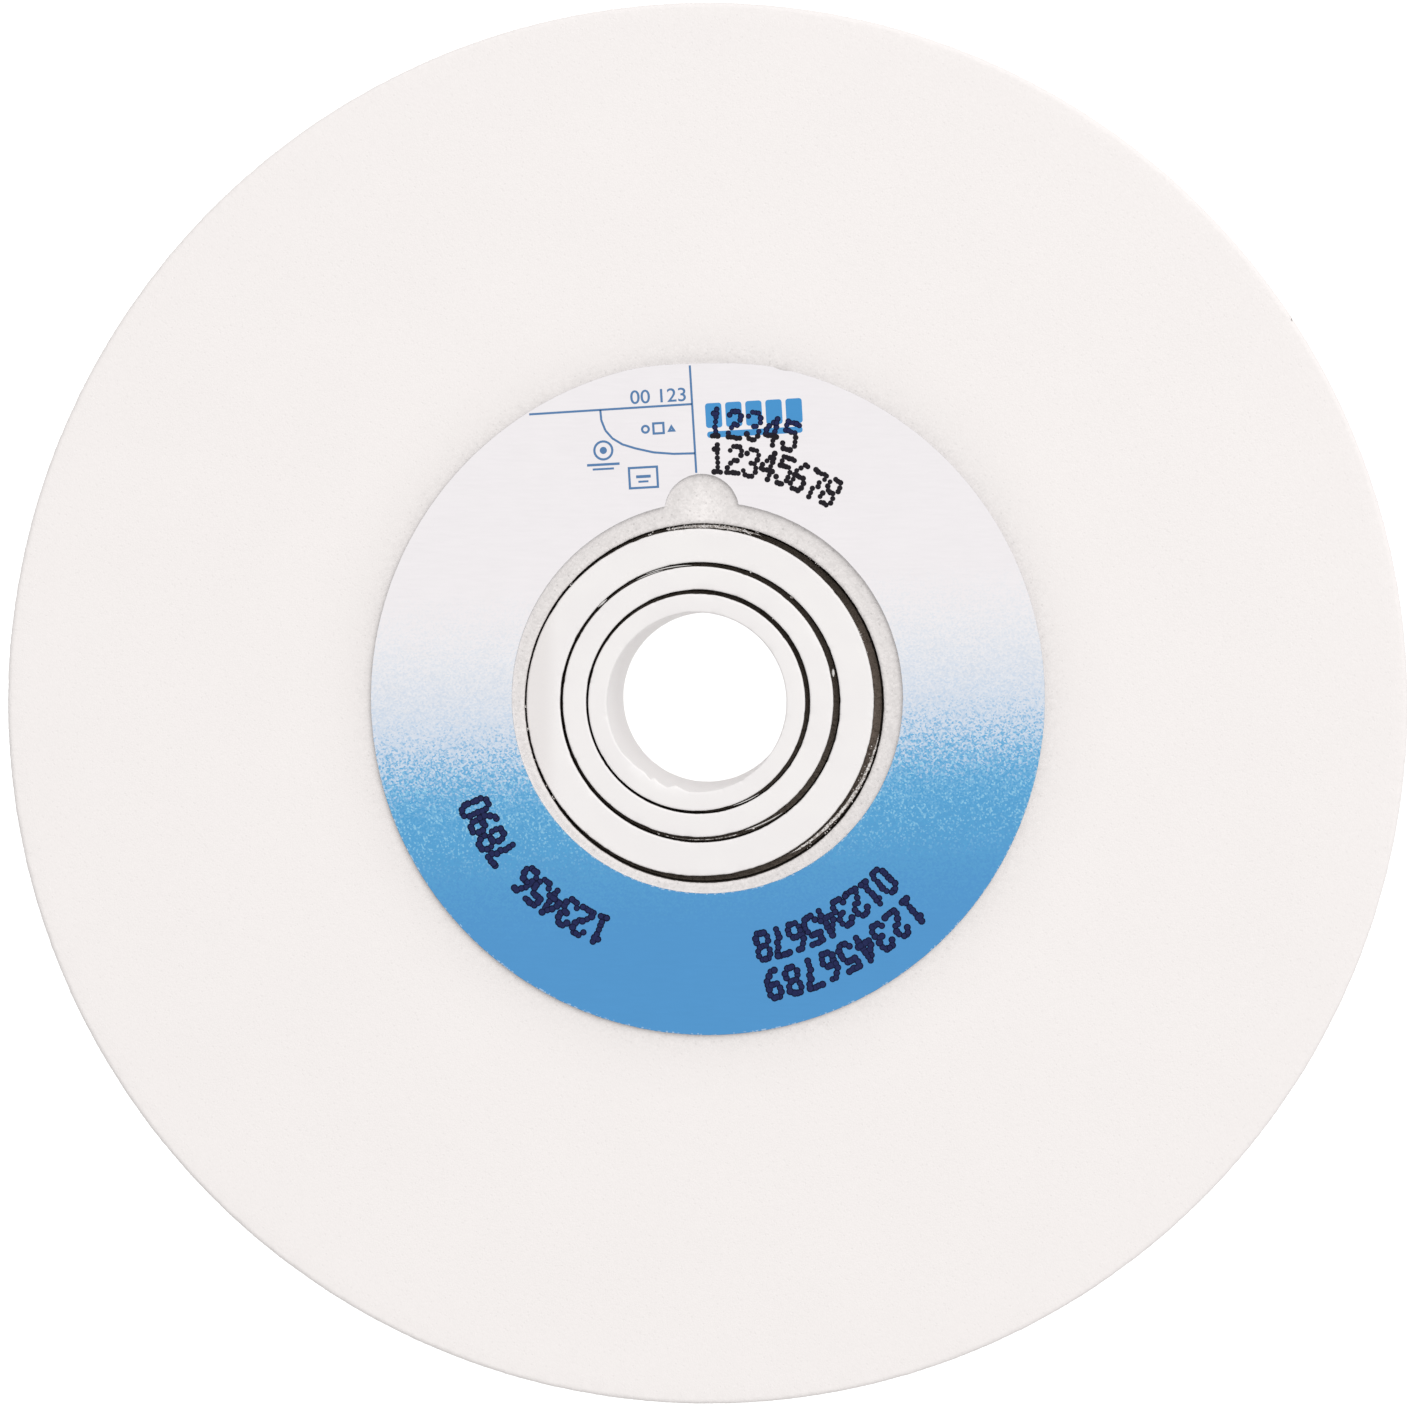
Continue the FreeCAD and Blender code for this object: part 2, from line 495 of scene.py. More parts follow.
def stamp_washer(name, bottom, top):
    """A washer true to the axis, with its hole and notch stamped out and its edges softly crushed."""
    washer = add_disc(name, washer_radius, bottom, top, rim_points)
    cut_away(washer, add_disc("hole", hole_radius, bottom - MM, top + MM, hole_points))
    cut_away(washer, add_disc("notch", notch_radius, bottom - MM, top + MM, notch_points, y=notch_centre))
    mouth_y = (hole_radius**2 - notch_radius**2 + notch_centre**2) / (2 * notch_centre)
    mouth_x = math.sqrt(hole_radius**2 - mouth_y**2)
    choose(washer, lambda p: math.hypot(abs(p.x) - mouth_x, p.y - mouth_y) < 0.02 * MM, "EDGE")
    bpy.ops.mesh.bevel(offset=mouth_round, segments=5, affect="EDGES")
    choose(washer, lambda place: place.z > top - NEAR, "FACE")
    bpy.ops.mesh.region_to_loop()
    bpy.ops.mesh.bevel(offset=crushed_edge, segments=2, affect="EDGES")
    bpy.ops.object.mode_set(mode="OBJECT")
    return washer


def near_outline(place):
    """The part of a washer that the stamp's cut has frayed: its outer edge and its hole."""
    out = math.hypot(place.x, place.y)
    return float(out > washer_radius - 0.2 * MM or out < hole_radius + notch_radius)


def fray(washer):
    """Frays the cut edges of a washer sideways."""
    wear(washer, "frayed across", near_outline, "CLOUDS", 0.35 * MM, fray_depth, "X")
    wear(washer, "frayed along", near_outline, "CLOUDS", 0.30 * MM, fray_depth, "Y")


def push_in(washer, x, y, shift, reach):
    """Moves the edge of a washer in at one spot, and its surroundings less and less up to a reach."""
    choose(washer, lambda place: math.hypot(place.x - x, place.y - y) < 0.25 * MM)
    soft = {"use_proportional_edit": True, "proportional_edit_falloff": "SMOOTH", "proportional_size": reach}
    move_chosen(0, -shift, 0, **soft)


def make_paper_group():
    """Felted paper: faint fibres along the sheet, a mottled tone and a soft relief."""
    group, inputs, outputs = start_group(
        "Felted paper",
        [("Colour", "NodeSocketColor", paper_white)],
        [("Colour", "NodeSocketColor"), ("Height", "NodeSocketFloat")],
    )
    place = object_place(group)
    along = node(group, "ShaderNodeMapping", {"Vector": place, "Scale": (0.12, 1, 1)})
    fibres = noise(group, along.outputs[0], 0.22 * MM, 3.0)
    mottle = noise(group, place, 2.5 * MM)
    tone = scale_add(group, fibres, 0.06, 0.955)
    tone = scale_add(group, mottle, 0.03, tone)
    colour = dim(group, inputs.outputs["Colour"], tone)
    group.links.new(colour, outputs.inputs["Colour"])
    group.links.new(fibres, outputs.inputs["Height"])
    return group


def make_tint_group():
    """How far down the printed fade a point is, from 0 above it to 1 below, with the print's fine grain."""
    group, inputs, outputs = start_group(
        "Printed fade",
        [("Grain", "NodeSocketFloat", 1.0)],
        [("Share", "NodeSocketFloat"), ("Specks", "NodeSocketFloat")],
    )
    place = object_place(group)
    down = calculate(group, "MULTIPLY", along_axis(group, place, "Y"), -1.0)
    down = scale_add(group, along_axis(group, place, "X"), print_slant, down)
    share = calculate(group, "DIVIDE", calculate(group, "ADD", down, 10 * MM), 30 * MM)
    each = cell_values(group, cells(group, place, 0.14 * MM))
    clumps = noise(group, place, 0.25 * MM)
    both = scale_add(group, clumps, 0.4, each[0])
    both = calculate(group, "MULTIPLY", calculate(group, "SUBTRACT", both, 0.7), inputs.outputs["Grain"])
    where = calculate(group, "MULTIPLY", rise(group, share, 0.40, 0.56), rise(group, share, 0.86, 0.68))
    specks = calculate(group, "MULTIPLY", rise(group, each[1], 0.70, 1.0), where)
    share = scale_add(group, both, 0.19, share)
    group.links.new(share, outputs.inputs["Share"])
    group.links.new(specks, outputs.inputs["Specks"])
    return group


paper_group = make_paper_group()
tint_group = make_tint_group()
paper_face = washer_high.z - print_room
front_washer = stamp_washer("printed_washer", washer_low.z, paper_face)
fray(front_washer)
take_up(front_washer)
front_washer.rotation_euler = (0, 0, front_turn)
front_washer.location = (washer_x, washer_y, 0)
bpy.ops.object.transform_apply()
push_in(front_washer, -0.2 * MM, washer_y + washer_radius, 0.25 * MM, 7 * MM)
push_in(front_washer, tear_x, tear_y, 0.12 * MM, 0.9 * MM)
torn_below = washer_low.z + NEAR
choose(front_washer, lambda p: math.hypot(p.x - tear_x, p.y - tear_y) < tear_reach and p.z < torn_below)
move_chosen(0, 0, 0.2 * MM)

printed_material, tree, shader = start_material("Printed paper", 0.62, 0.2)
place = object_place(tree)
tint = place_group(tree, tint_group)
faded = ramp(tree, tint.outputs["Share"], (
    (0.02, (0.863, 0.831, 0.846, 1)),
    (0.12, (0.822, 0.816, 0.842, 1)),
    (0.22, (0.757, 0.780, 0.831, 1)),
    (0.34, (0.664, 0.721, 0.809, 1)),
    (0.43, (0.566, 0.668, 0.800, 1)),
    (0.54, (0.160, 0.424, 0.689, 1)),
    (0.66, (0.088, 0.353, 0.638, 1)),
    (0.80, (0.092, 0.335, 0.617, 1)),
    (0.95, (0.080, 0.298, 0.600, 1)),
))
specks = calculate(tree, "MULTIPLY", tint.outputs["Specks"], 0.5)
faded = mix_colours(tree, specks, faded, speck_blue)
from_centre = distance_from(tree, place, washer_x, washer_y)
near_hole = rise(tree, from_centre, hole_radius + 0.5 * MM, hole_radius)
near_rim = rise(tree, from_centre, washer_radius - 0.4 * MM, washer_radius)
inked = rise(tree, tint.outputs["Share"], 0.40, 0.60)
near_cut = calculate(tree, "MULTIPLY", calculate(tree, "MAXIMUM", near_hole, near_rim), inked)
flake = cell_values(tree, cells(tree, place, 0.17 * MM))[0]
bared = rise(tree, calculate(tree, "MULTIPLY", near_cut, flake), 0.68, 0.80)
faded = mix_colours(tree, calculate(tree, "MULTIPLY", bared, 0.4), faded, flaked_blue)
height = along_axis(tree, place, "Z")
# Painted shade: the crushed top edge of the paper is darkened in colour.
crushed = rise(tree, height, paper_face - 0.002 * MM, paper_face - 0.010 * MM)
faded = mix_colours(tree, crushed, faded, mix_colours(tree, 1.0, faded, shade(0.55), "MULTIPLY"))
on_top = rise(tree, height, paper_face - 0.035 * MM, paper_face - 0.025 * MM)
# Painted shade: the cut side is greyer than the face, flecked lighter by fibres.
side = mix_colours(tree, flake, cut_side_shade, cut_white)
colour = mix_colours(tree, on_top, side, faded)
paper = place_group(tree, paper_group, {"Colour": colour})
paint(tree, shader, paper.outputs["Colour"])
emboss(tree, shader, paper.outputs["Height"], 0.015 * MM, 0.5)
front_washer.data.materials.append(printed_material)

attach(front_washer, "root")
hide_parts("front_blotter")

rear_low, rear_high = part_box("rear_blotter")
rear_washer = stamp_washer("plain_washer", rear_low.z, rear_high.z)
fray(rear_washer)

plain_material, tree, shader = start_material("Plain paper", 0.75)
paper = place_group(tree, paper_group, {"Colour": plain_cream})
paint(tree, shader, paper.outputs["Colour"])
emboss(tree, shader, paper.outputs["Height"], 0.02 * MM, 0.6)
rear_washer.data.materials.append(plain_material)

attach(rear_washer, "root")
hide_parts("rear_blotter")


# Blue print on the front washer: thin rules, five blocks over a bar, a few small plain marks and a row of
# digits, printed together with the fade. Each is a film of ink that lies on the paper.
photo_centre_x = 706.0
photo_centre_y = 703.8
photo_pixel = 0.08935 * MM
blue_film = 0.006 * MM
rule_width = 0.19 * MM
mark_width = 0.2 * MM
block_corner = 0.25 * MM
block_pixels = 20
print_turn = math.radians(3.2)


def spot(x, y):
    """Where a pixel of the photograph lies on the wheel's face."""
    return (x - photo_centre_x) * photo_pixel, (photo_centre_y - y) * photo_pixel


def join(name, pieces):
    """Joins pieces into one with its own name."""
    take_up(pieces[0])
    for piece in pieces:
        piece.select_set(True)
    bpy.ops.object.join()
    joined = bpy.context.object
    joined.name = name
    bpy.ops.object.transform_apply()
    return joined


def add_film(x, y, width, height, turn=0.0):
    """A thin rectangle of ink on the paper, about its middle."""
    set_down()
    middle = (x, y, paper_face + blue_film / 2)
    bpy.ops.mesh.primitive_cube_add(size=1, location=middle, rotation=(0, 0, turn))
    film = bpy.context.object
    film.scale = (width, height, blue_film)
    bpy.ops.object.transform_apply()
    return film


def draw_line(start, end):
    """A straight rule between two pixels of the photograph."""
    (x1, y1), (x2, y2) = spot(*start), spot(*end)
    length = math.hypot(x2 - x1, y2 - y1)
    return add_film((x1 + x2) / 2, (y1 + y2) / 2, length, rule_width, math.atan2(y2 - y1, x2 - x1))


def thicken(height):
    """Extrudes flat faces in edit mode up or down into a closed solid, and leaves edit mode."""
    bpy.ops.mesh.select_all(action="SELECT")
    bpy.ops.mesh.extrude_region_move(TRANSFORM_OT_translate={"value": (0, 0, height)})
    bpy.ops.mesh.select_all(action="SELECT")
    bpy.ops.mesh.normals_make_consistent(inside=False)
    bpy.ops.object.mode_set(mode="OBJECT")


def draw_loop(x, y, width, height, sides):
    """The outline of a plain figure, round its middle, as a flat band of ink."""
    set_down()
    place = (x, y, paper_face)
    bpy.ops.mesh.primitive_circle_add(vertices=sides, radius=0.5, fill_type="NGON", location=place)
    loop = bpy.context.object
    if sides == 4:
        loop.rotation_euler = (0, 0, math.pi / 4)
        loop.scale = (math.sqrt(2), math.sqrt(2), 1)
        bpy.ops.object.transform_apply(location=False, rotation=True, scale=True)
    loop.scale = (width, height, 1)
    loop.rotation_euler = (0, 0, print_turn)
    bpy.ops.object.transform_apply()
    choose(loop, lambda place: True, "FACE")
    bpy.ops.mesh.inset(thickness=mark_width, depth=0)
    bpy.ops.mesh.delete(type="FACE")
    thicken(blue_film)
    return loop


def add_block(pixel_x, pixel_y, width, height):
    """A block of ink with rounded corners, turned as the whole print is."""
    x, y = spot(pixel_x, pixel_y)
    block = add_film(x, y, width, height, print_turn)
    choose(block, lambda place: False, "EDGE")
    bpy.ops.object.mode_set(mode="OBJECT")
    for edge in block.data.edges:
        first, second = (block.data.vertices[index].co for index in edge.vertices)
        edge.select = abs(first.z - second.z) > blue_film / 2
    bpy.ops.object.mode_set(mode="EDIT")
    bpy.ops.mesh.bevel(offset=block_corner, segments=4, affect="EDGES")
    bpy.ops.object.mode_set(mode="OBJECT")
    return block


def write_digits(digits, pixel_x, pixel_y, width, height):
    """A row of plain printed digits about a pixel of the photograph."""
    set_down()
    x, y = spot(pixel_x, pixel_y)
    bpy.ops.object.text_add(location=(x, y, paper_face + blue_film / 2), rotation=(0, 0, print_turn))
    writing = bpy.context.object
    writing.data.body = digits
    writing.data.size = height / 0.72
    writing.data.extrude = blue_film / 2
    writing.data.offset = 0.012 * MM
    writing.data.align_x = "CENTER"
    writing.data.align_y = "CENTER"
    bpy.ops.object.convert(target="MESH")
    bpy.context.view_layer.update()
    writing = bpy.context.object
    writing.dimensions = (width, height, blue_film)
    bpy.ops.object.transform_apply()
    weld(writing, NEAR / 100)
    return writing


curve_pixels = (
    (603, 412), (604, 422), (608, 432), (615, 440), (625, 446),
    (638, 450), (656, 454), (676, 455.5), (697, 455),
)
rules = [draw_line((692.2, 367.5), (698.7, 474.5)), draw_line((532, 416), (694, 406))]
for first, second in zip(curve_pixels, curve_pixels[1:]):
    rules.append(draw_line(first, second))
blue_rules = join("blue_rules", rules)

blocks = []
for number in range(5):
    across = block_pixels * (number - 2)
    blocks.append(add_block(756 + across, 415 - across * math.tan(print_turn), 1.45 * MM, 2.2 * MM))
blocks.append(add_block(757, 434, 8.5 * MM, 0.56 * MM))
blue_blocks = join("blue_blocks", blocks)

marks = []
for x, y, width, height, sides in (
    (648, 431, 0.8, 0.8, 24),
    (661, 430, 1.1, 1.1, 4),
    (674, 431, 0.9, 0.9, 3),
    (606, 452, 1.8, 1.8, 32),
    (646, 479, 2.7, 2.0, 4),
):
    marks.append(draw_loop(*spot(x, y), width * MM, height * MM, sides))
marks.append(add_disc("spot", 0.32 * MM, paper_face, paper_face + blue_film, 24, *spot(606, 452)))
for x, y, width, height in (
    (606, 466, 2.9, 0.22),
    (606, 470.5, 1.9, 0.18),
    (646, 478, 1.3, 0.26),
    (646, 483, 0.9, 0.18),
):
    marks.append(add_film(*spot(x, y), width * MM, height * MM, print_turn))
blue_marks = join("blue_marks", marks)
blue_digits = write_digits("00 123", 661, 398.5, 4.95 * MM, 1.22 * MM)
blue_digits.name = "blue_digits"

for name, ink, pieces in (
    ("Blue ink", (0.062, 0.292, 0.610, 1), (blue_blocks,)),
    ("Slate blue ink", (0.095, 0.210, 0.410, 1), (blue_rules, blue_marks, blue_digits)),
):
    ink_material, tree, shader = start_material(name, 0.6, 0.2)
    paper = place_group(tree, paper_group, {"Colour": ink})
    paint(tree, shader, paper.outputs["Colour"])
    for piece in pieces:
        piece.data.materials.append(ink_material)
        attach(piece, "root")


# Stamped digits: lines of counting digits that a dot printer has laid round the washer, tops outwards. Each
# dot is a small bead of black ink, a little out of its place, that runs into its neighbours.
ink_film = 0.008 * MM
rim_ink = (0.004, 0.005, 0.026, 1)
dot_rows = 7
dot_row_pitch = 0.395 * MM
dot_column_pitch = 0.26 * MM
dot_slope = 0.3
digit_dots = {
    "0": ".###. #...# #...# #...# #...# #...# .###.",
    "1": "..#.. .##.. ..#.. ..#.. ..#.. ..#.. .###.",
    "2": ".###. #...# ....# ..##. .#... #.... #####",
    "3": ".###. #...# ....# ..##. ....# #...# .###.",
    "4": "...#. ..##. .#.#. #..#. ##### ...#. ...#.",
    "5": "##### #.... ####. ....# ....# #...# .###.",
    "6": "..##. .#... #.... ####. #...# #...# .###.",
    "7": "##### ....# ...#. ...#. ..#.. ..#.. ..#..",
    "8": ".###. #...# #...# .###. #...# #...# .###.",
    "9": ".###. #...# #...# .#### ....# ...#. .##..",
}
digit_lines = (
    ("first_digit_line", "12345", 24.4 * MM, 1.9, 17.8, 0.27 * MM),
    ("second_digit_line", "12345678", 21.2 * MM, 2.6, 31.2, 0.255 * MM),
    ("third_digit_line", "123456789", 26.3 * MM, 136.0, 166.8, 0.33 * MM),
    ("fourth_digit_line", "012345678", 22.7 * MM, 136.0, 167.2, 0.32 * MM),
    ("fifth_digit_line", "123456 7890", 22.9 * MM, 205.0, 244.5, 0.325 * MM),
)
ink_centre_x, ink_centre_y = spot(709, 697.5)


def lay_copy(model, place, scale, turn):
    """A copy of a model at its own place, scale and turn."""
    copy = model.copy()
    copy.data = model.data.copy()
    bpy.context.scene.collection.objects.link(copy)
    copy.location = place
    copy.scale = scale
    copy.rotation_euler = turn
    return copy


def make_dot(radius):
    """One bead of ink about the origin, that slopes off to its rim."""
    dot = add_disc("dot", radius, -ink_film / 2, ink_film / 2, 10)
    choose(dot, lambda place: place.z > 0, "FACE")
    bpy.ops.mesh.inset(thickness=dot_slope * radius, depth=0)
    bpy.ops.object.mode_set(mode="OBJECT")
    choose(dot, lambda place: place.z > 0 and math.hypot(place.x, place.y) > (1 - dot_slope / 3) * radius)
    move_chosen(0, 0, -ink_film / 2)
    return dot


def print_line(name, digits, radius, start, end, dot_radius, seed):
    """A line of dot digits, clockwise round the washer from one angle off the top to another."""
    chance = random.Random(seed)
    model = make_dot(dot_radius)
    dots = []
    for number, digit in enumerate(digits):
        if digit == " ":
            continue
        turn = math.radians(start + (end - start) * number / (len(digits) - 1))
        lean = chance.uniform(-0.05, 0.05)
        rise_of_digit = chance.uniform(-0.08, 0.08) * MM
        for row, dots_in_row in enumerate(digit_dots[digit].split()):
            for column, cell in enumerate(dots_in_row):
                if cell != "#":
                    continue
                out = radius + rise_of_digit + ((dot_rows - 1) / 2 - row) * dot_row_pitch
                out += chance.gauss(0, 0.03) * MM
                across = (column - 2) * dot_column_pitch + lean * (out - radius) + chance.gauss(0, 0.03) * MM
                place = (
                    ink_centre_x + out * math.sin(turn) + across * math.cos(turn),
                    ink_centre_y + out * math.cos(turn) - across * math.sin(turn),
                    paper_face + ink_film / 2 + chance.uniform(0.001, 0.006) * MM,
                )
                size = chance.uniform(0.88, 1.1)
                turned = (0, 0, chance.uniform(0, math.pi))
                dots.append(lay_copy(model, place, (size, size, 1), turned))
    bpy.data.objects.remove(model)
    return join(name, dots)


black_material, tree, shader = start_material("Black stamping ink", 0.75, 0.1)
place = object_place(tree)
share = place_group(tree, tint_group, {"Grain": 0.0}).outputs["Share"]
on_blue = rise(tree, share, 0.3, 0.6)
along = along_axis(tree, place, "Y")
on_blocks = rise(tree, along, spot(757, 438)[1], spot(757, 432)[1])
on_blue = calculate(tree, "MAXIMUM", on_blue, on_blocks)
blots = noise(tree, place, 0.25 * MM)
black = mix_colours(tree, blots, (0.010, 0.009, 0.012, 1), (0.022, 0.018, 0.024, 1))
navy = mix_colours(tree, blots, (0.010, 0.016, 0.060, 1), (0.024, 0.030, 0.112, 1))
slope = along_axis(tree, node(tree, "ShaderNodeTexCoord").outputs["Normal"], "Z")
navy = mix_colours(tree, rise(tree, slope, 0.9998, 0.9991), navy, rim_ink)
paint(tree, shader, mix_colours(tree, on_blue, black, navy))
for seed, (name, digits, radius, start, end, dot_radius) in enumerate(digit_lines):
    line = print_line(name, digits, radius, start, end, dot_radius, seed)
    line.data.materials.append(black_material)
    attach(line, "root")


# Reduction rings: three moulded sleeves of off-white plastic, loose in each other and in the wheel's bore.
# Their corners are lightly broken and nicked, and the bore of the smallest has a torn edge.
ring_steps = 1000
ring_row = 0.25 * MM
ring_break = 0.15 * MM
ring_white = (0.885, 0.858, 0.848, 1)
cloud_white = (0.865, 0.835, 0.830, 1)
left_shade = (0.80, 0.765, 0.755, 1)
wall_painted_light = (0.960, 0.940, 0.935, 1)
wall_painted_shade = (0.880, 0.855, 0.850, 1)
small_bore_reach = 8.8 * MM
lip_depth = 0.12 * MM
ring_nodes = {
    "large_ring": "large_reduction_ring",
    "middle_ring": "middle_reduction_ring",
    "small_ring": "small_reduction_ring",
}
ring_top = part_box("large_reduction_ring")[1].z

# How far the torn edge reaches into the bore, in millimetres, at angles in degrees.
torn_lip = (
    (214, 0.0), (219, 0.12), (229, 0.24), (233, 0.30), (239, 0.0), (241.5, 0.32),
    (245, 0.16), (251, 0.0), (256, 0.40), (262, 0.13), (266, 0.0),
)


def ring_sizes(cad_node):
    """The centre, outside radius and bore radius of a ring in the frame, and its two heights."""
    low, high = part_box(cad_node)
    x, y = (low.x + high.x) / 2, (low.y + high.y) / 2
    reach = [math.hypot(v.co.x - x, v.co.y - y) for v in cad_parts[cad_node].data.vertices]
    return x, y, max(reach), min(reach), low.z, high.z


def lip_at(turned):
    """How far the torn edge reaches into the bore at an angle."""
    for (start, low), (end, high) in zip(torn_lip, torn_lip[1:]):
        if start <= turned < end:
            return (low + (high - low) * (turned - start) / (end - start)) * MM
    return 0.0


def pull_lip(ring, bore, top):
    """Draws the upper edge of a bore inwards into a thin torn lip."""
    for vertex in ring.data.vertices:
        place = vertex.co
        out = math.hypot(place.x, place.y)
        if place.z < top - lip_depth or out > bore + 2 * ring_row:
            continue
        lip = lip_at(math.degrees(math.atan2(place.y, place.x)) % 360)
        hold = 1 - max(out - bore, 0.0) / (2 * ring_row)
        place.x -= lip * hold * place.x / out
        place.y -= lip * hold * place.y / out
        place.z -= 0.25 * lip * hold


def mould_ring(name, cad_node):
    """A sleeve as long as the frame's ring, with broken corners that are worn and nicked."""
    x, y, outside, bore, bottom, top = ring_sizes(cad_node)
    ring = draw_section(name, bore, outside, bottom, top)
    round_corners(ring, outside, ring_row, ring_break, 3)
    round_corners(ring, bore, ring_row, ring_break, 3)
    turn_section(ring, ring_steps)

    def near_corners(place):
        """How near a point of the ring is to one of its corners."""
        return max(near_corner(place, radius, ring_row, bottom, top) for radius in (outside, bore))

    wear(ring, "worn corners", near_corners, "CLOUDS", 0.4 * MM, 0.02 * MM)
    wear(ring, "nicks", near_corners, "CLOUDS", 1.3 * MM, 0.06 * MM, contrast=5.0, brightness=0.25)
    if cad_node == "small_reduction_ring":
        pull_lip(ring, bore, top)
    take_up(ring)
    ring.location = (x, y, 0)
    bpy.ops.object.transform_apply()
    bpy.ops.object.shade_smooth_by_angle(angle=math.radians(35))
    return ring


ring_material, tree, shader = start_material("Moulded plastic", 0.42)
place = object_place(tree)
cloudy = noise(tree, place, 5 * MM)
orange_peel = noise(tree, place, 0.6 * MM)
colour = mix_colours(tree, rise(tree, cloudy, 0.3, 0.7), ring_white, cloud_white)
across = along_axis(tree, place, "X")
# Painted shade: the left side of the large ring is darker.
colour = mix_colours(tree, rise(tree, across, -12.8 * MM, -14.6 * MM), colour, left_shade)
# Painted shade: the rings' walls in the gaps are brown-black below their tops.
gap_shade = place_group(tree, wall_shade_group, {
    "From Radius": small_bore_reach,
    "To Radius": wheel_bore_radius + MM,
    "Shade Top": ring_top - ring_break,
})
colour = mix_colours(tree, gap_shade.outputs["Mask"], colour, gap_shade_brown)
# Painted light and shade: the smallest ring's bore wall is lighter than the plastic, greyer towards the lower
# side.
inner_wall = place_group(tree, wall_shade_group, {
    "From Radius": 0.0,
    "To Radius": small_bore_reach,
    "Shade Top": ring_top,
})
along = along_axis(tree, place, "Y")
wall_light_and_shade = mix_colours(tree, rise(tree, along, 3 * MM, -6 * MM), wall_painted_light, wall_painted_shade)
colour = mix_colours(tree, inner_wall.outputs["Mask"], colour, wall_light_and_shade)
paint(tree, shader, colour)
emboss(tree, shader, orange_peel, 0.01 * MM, 0.4)

for name, cad_node in ring_nodes.items():
    ring = mould_ring(name, cad_node)
    ring.data.materials.append(ring_material)
    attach(ring, "root")
    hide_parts(cad_node)


# Gap dirt: grinding dust packed into all three gaps, dark brown as painted shade for their depth, a ribbon of
# pale grains and loose crumbs on top of it, and hair-thin threads of plastic scraped off the rings. It only
# lies in the gaps and is fixed to nothing.
dust_tops = (19.3 * MM, 19.2 * MM, 19.0 * MM)
dust_depth = 1.2 * MM
dust_slack = 0.01 * MM
dust_slump = 0.6 * MM
dust_shrink = 0.06 * MM
dust_points = 900
thread_flatness = 0.6
crumb_seed = 11

# Each gap has a ring on its inner side and a bore round it: the centre and radius of both.
gap_walls = []
around = (0, 0, wheel_bore_radius)
for cad_node in ring_nodes.values():
    x, y, outside, bore = ring_sizes(cad_node)[:4]
    gap_walls.append(((x, y, outside), around))
    around = (x, y, bore)


def gap_place(gap, turned, across):
    """A place in a gap at an angle in degrees, from 0 at the ring to 1 at the bore round it."""
    turn = math.radians(turned)
    x = 0.0
    y = 0.0
    for (centre_x, centre_y, radius), share in zip(gap_walls[gap], (1 - across, across)):
        x += share * (centre_x + radius * math.cos(turn))
        y += share * (centre_y + radius * math.sin(turn))
    return x, y


def pack_dust(name, gap, bottom, top):
    """A ring of packed dust between two heights, heaped, and shrunk away from the bore round it."""
    loops = []
    for (x, y, radius), slack in zip(gap_walls[gap], (dust_slack, -dust_slack)):
        set_down()
        bpy.ops.mesh.primitive_circle_add(vertices=dust_points, radius=radius + slack, location=(x, y, top))
        loops.append(bpy.context.object)
    dust = join(name, loops)
    choose(dust, lambda place: True, "EDGE")
    bpy.ops.mesh.bridge_edge_loops(number_cuts=4, interpolation="LINEAR")
    thicken(bottom - top)
    wear(dust, "heaped", lambda place: float(place.z > top - NEAR), "CLOUDS", 0.4 * MM, 0.5 * MM, "Z")
    x, y, bore = gap_walls[gap][1]
    shrunk = bore - dust_shrink
    choose(dust, lambda p: math.hypot(p.x - x, p.y - y) > shrunk and p.z > bottom + 0.6 * dust_depth)
    move_chosen(0, 0, -dust_slump)
    return dust


def lay_thread(gap, start, end, across_start, across_end, half_width, depth):
    """A flat strip along a gap from one angle to another, under the rings' tops and tapered to both ends."""
    set_down()
    bpy.ops.curve.primitive_nurbs_path_add(location=(0, 0, ring_top - depth * MM))
    thread = bpy.context.object
    curve = thread.data
    curve.splines.clear()
    spline = curve.splines.new("NURBS")
    points = max(5, int(abs(end - start) / 2))
    spline.points.add(points - 1)
    for number, point in enumerate(spline.points):
        share = number / (points - 1)
        across = across_start + (across_end - across_start) * share
        x, y = gap_place(gap, start + (end - start) * share, across)
        point.co = (x, y, 0, 1)
        point.radius = 0.15 + 0.85 * math.sin(math.pi * share) ** 0.6
    spline.order_u = 3
    spline.use_endpoint_u = True
    curve.resolution_u = 5
    curve.bevel_depth = half_width * MM
    curve.bevel_resolution = 1
    curve.use_fill_caps = True
    thread.scale = (1, 1, thread_flatness)
    bpy.ops.object.convert(target="MESH")
    thread = bpy.context.object
    bpy.ops.object.transform_apply()
    weld(thread)
    return thread


def drop_crumbs(rows, seed):
    """Small uneven grains in the gaps, by rows of their spread, their count and their largest size."""
    chance = random.Random(seed)
    set_down()
    bpy.ops.mesh.primitive_ico_sphere_add(subdivisions=1, radius=1.0)
    model = bpy.context.object
    choose(model, lambda place: place.z > 0.2)
    bpy.ops.transform.resize(value=(1.2, 0.8, 0.7))
    bpy.ops.object.mode_set(mode="OBJECT")
    crumbs = []
    for gap, start, end, near, far, count, largest in rows:
        for _ in range(count):
            x, y = gap_place(gap, chance.uniform(start, end), chance.uniform(near, far))
            size = chance.uniform(0.45, 1.0) * largest * MM
            place = (x, y, ring_top + chance.uniform(-0.6, 0.3) * size)
            scale = [size * chance.uniform(0.7, 1.2) for _ in range(3)]
            turn = [chance.uniform(0, math.pi) for _ in range(3)]
            crumbs.append(lay_copy(model, place, scale, turn))
    bpy.data.objects.remove(model)
    return crumbs


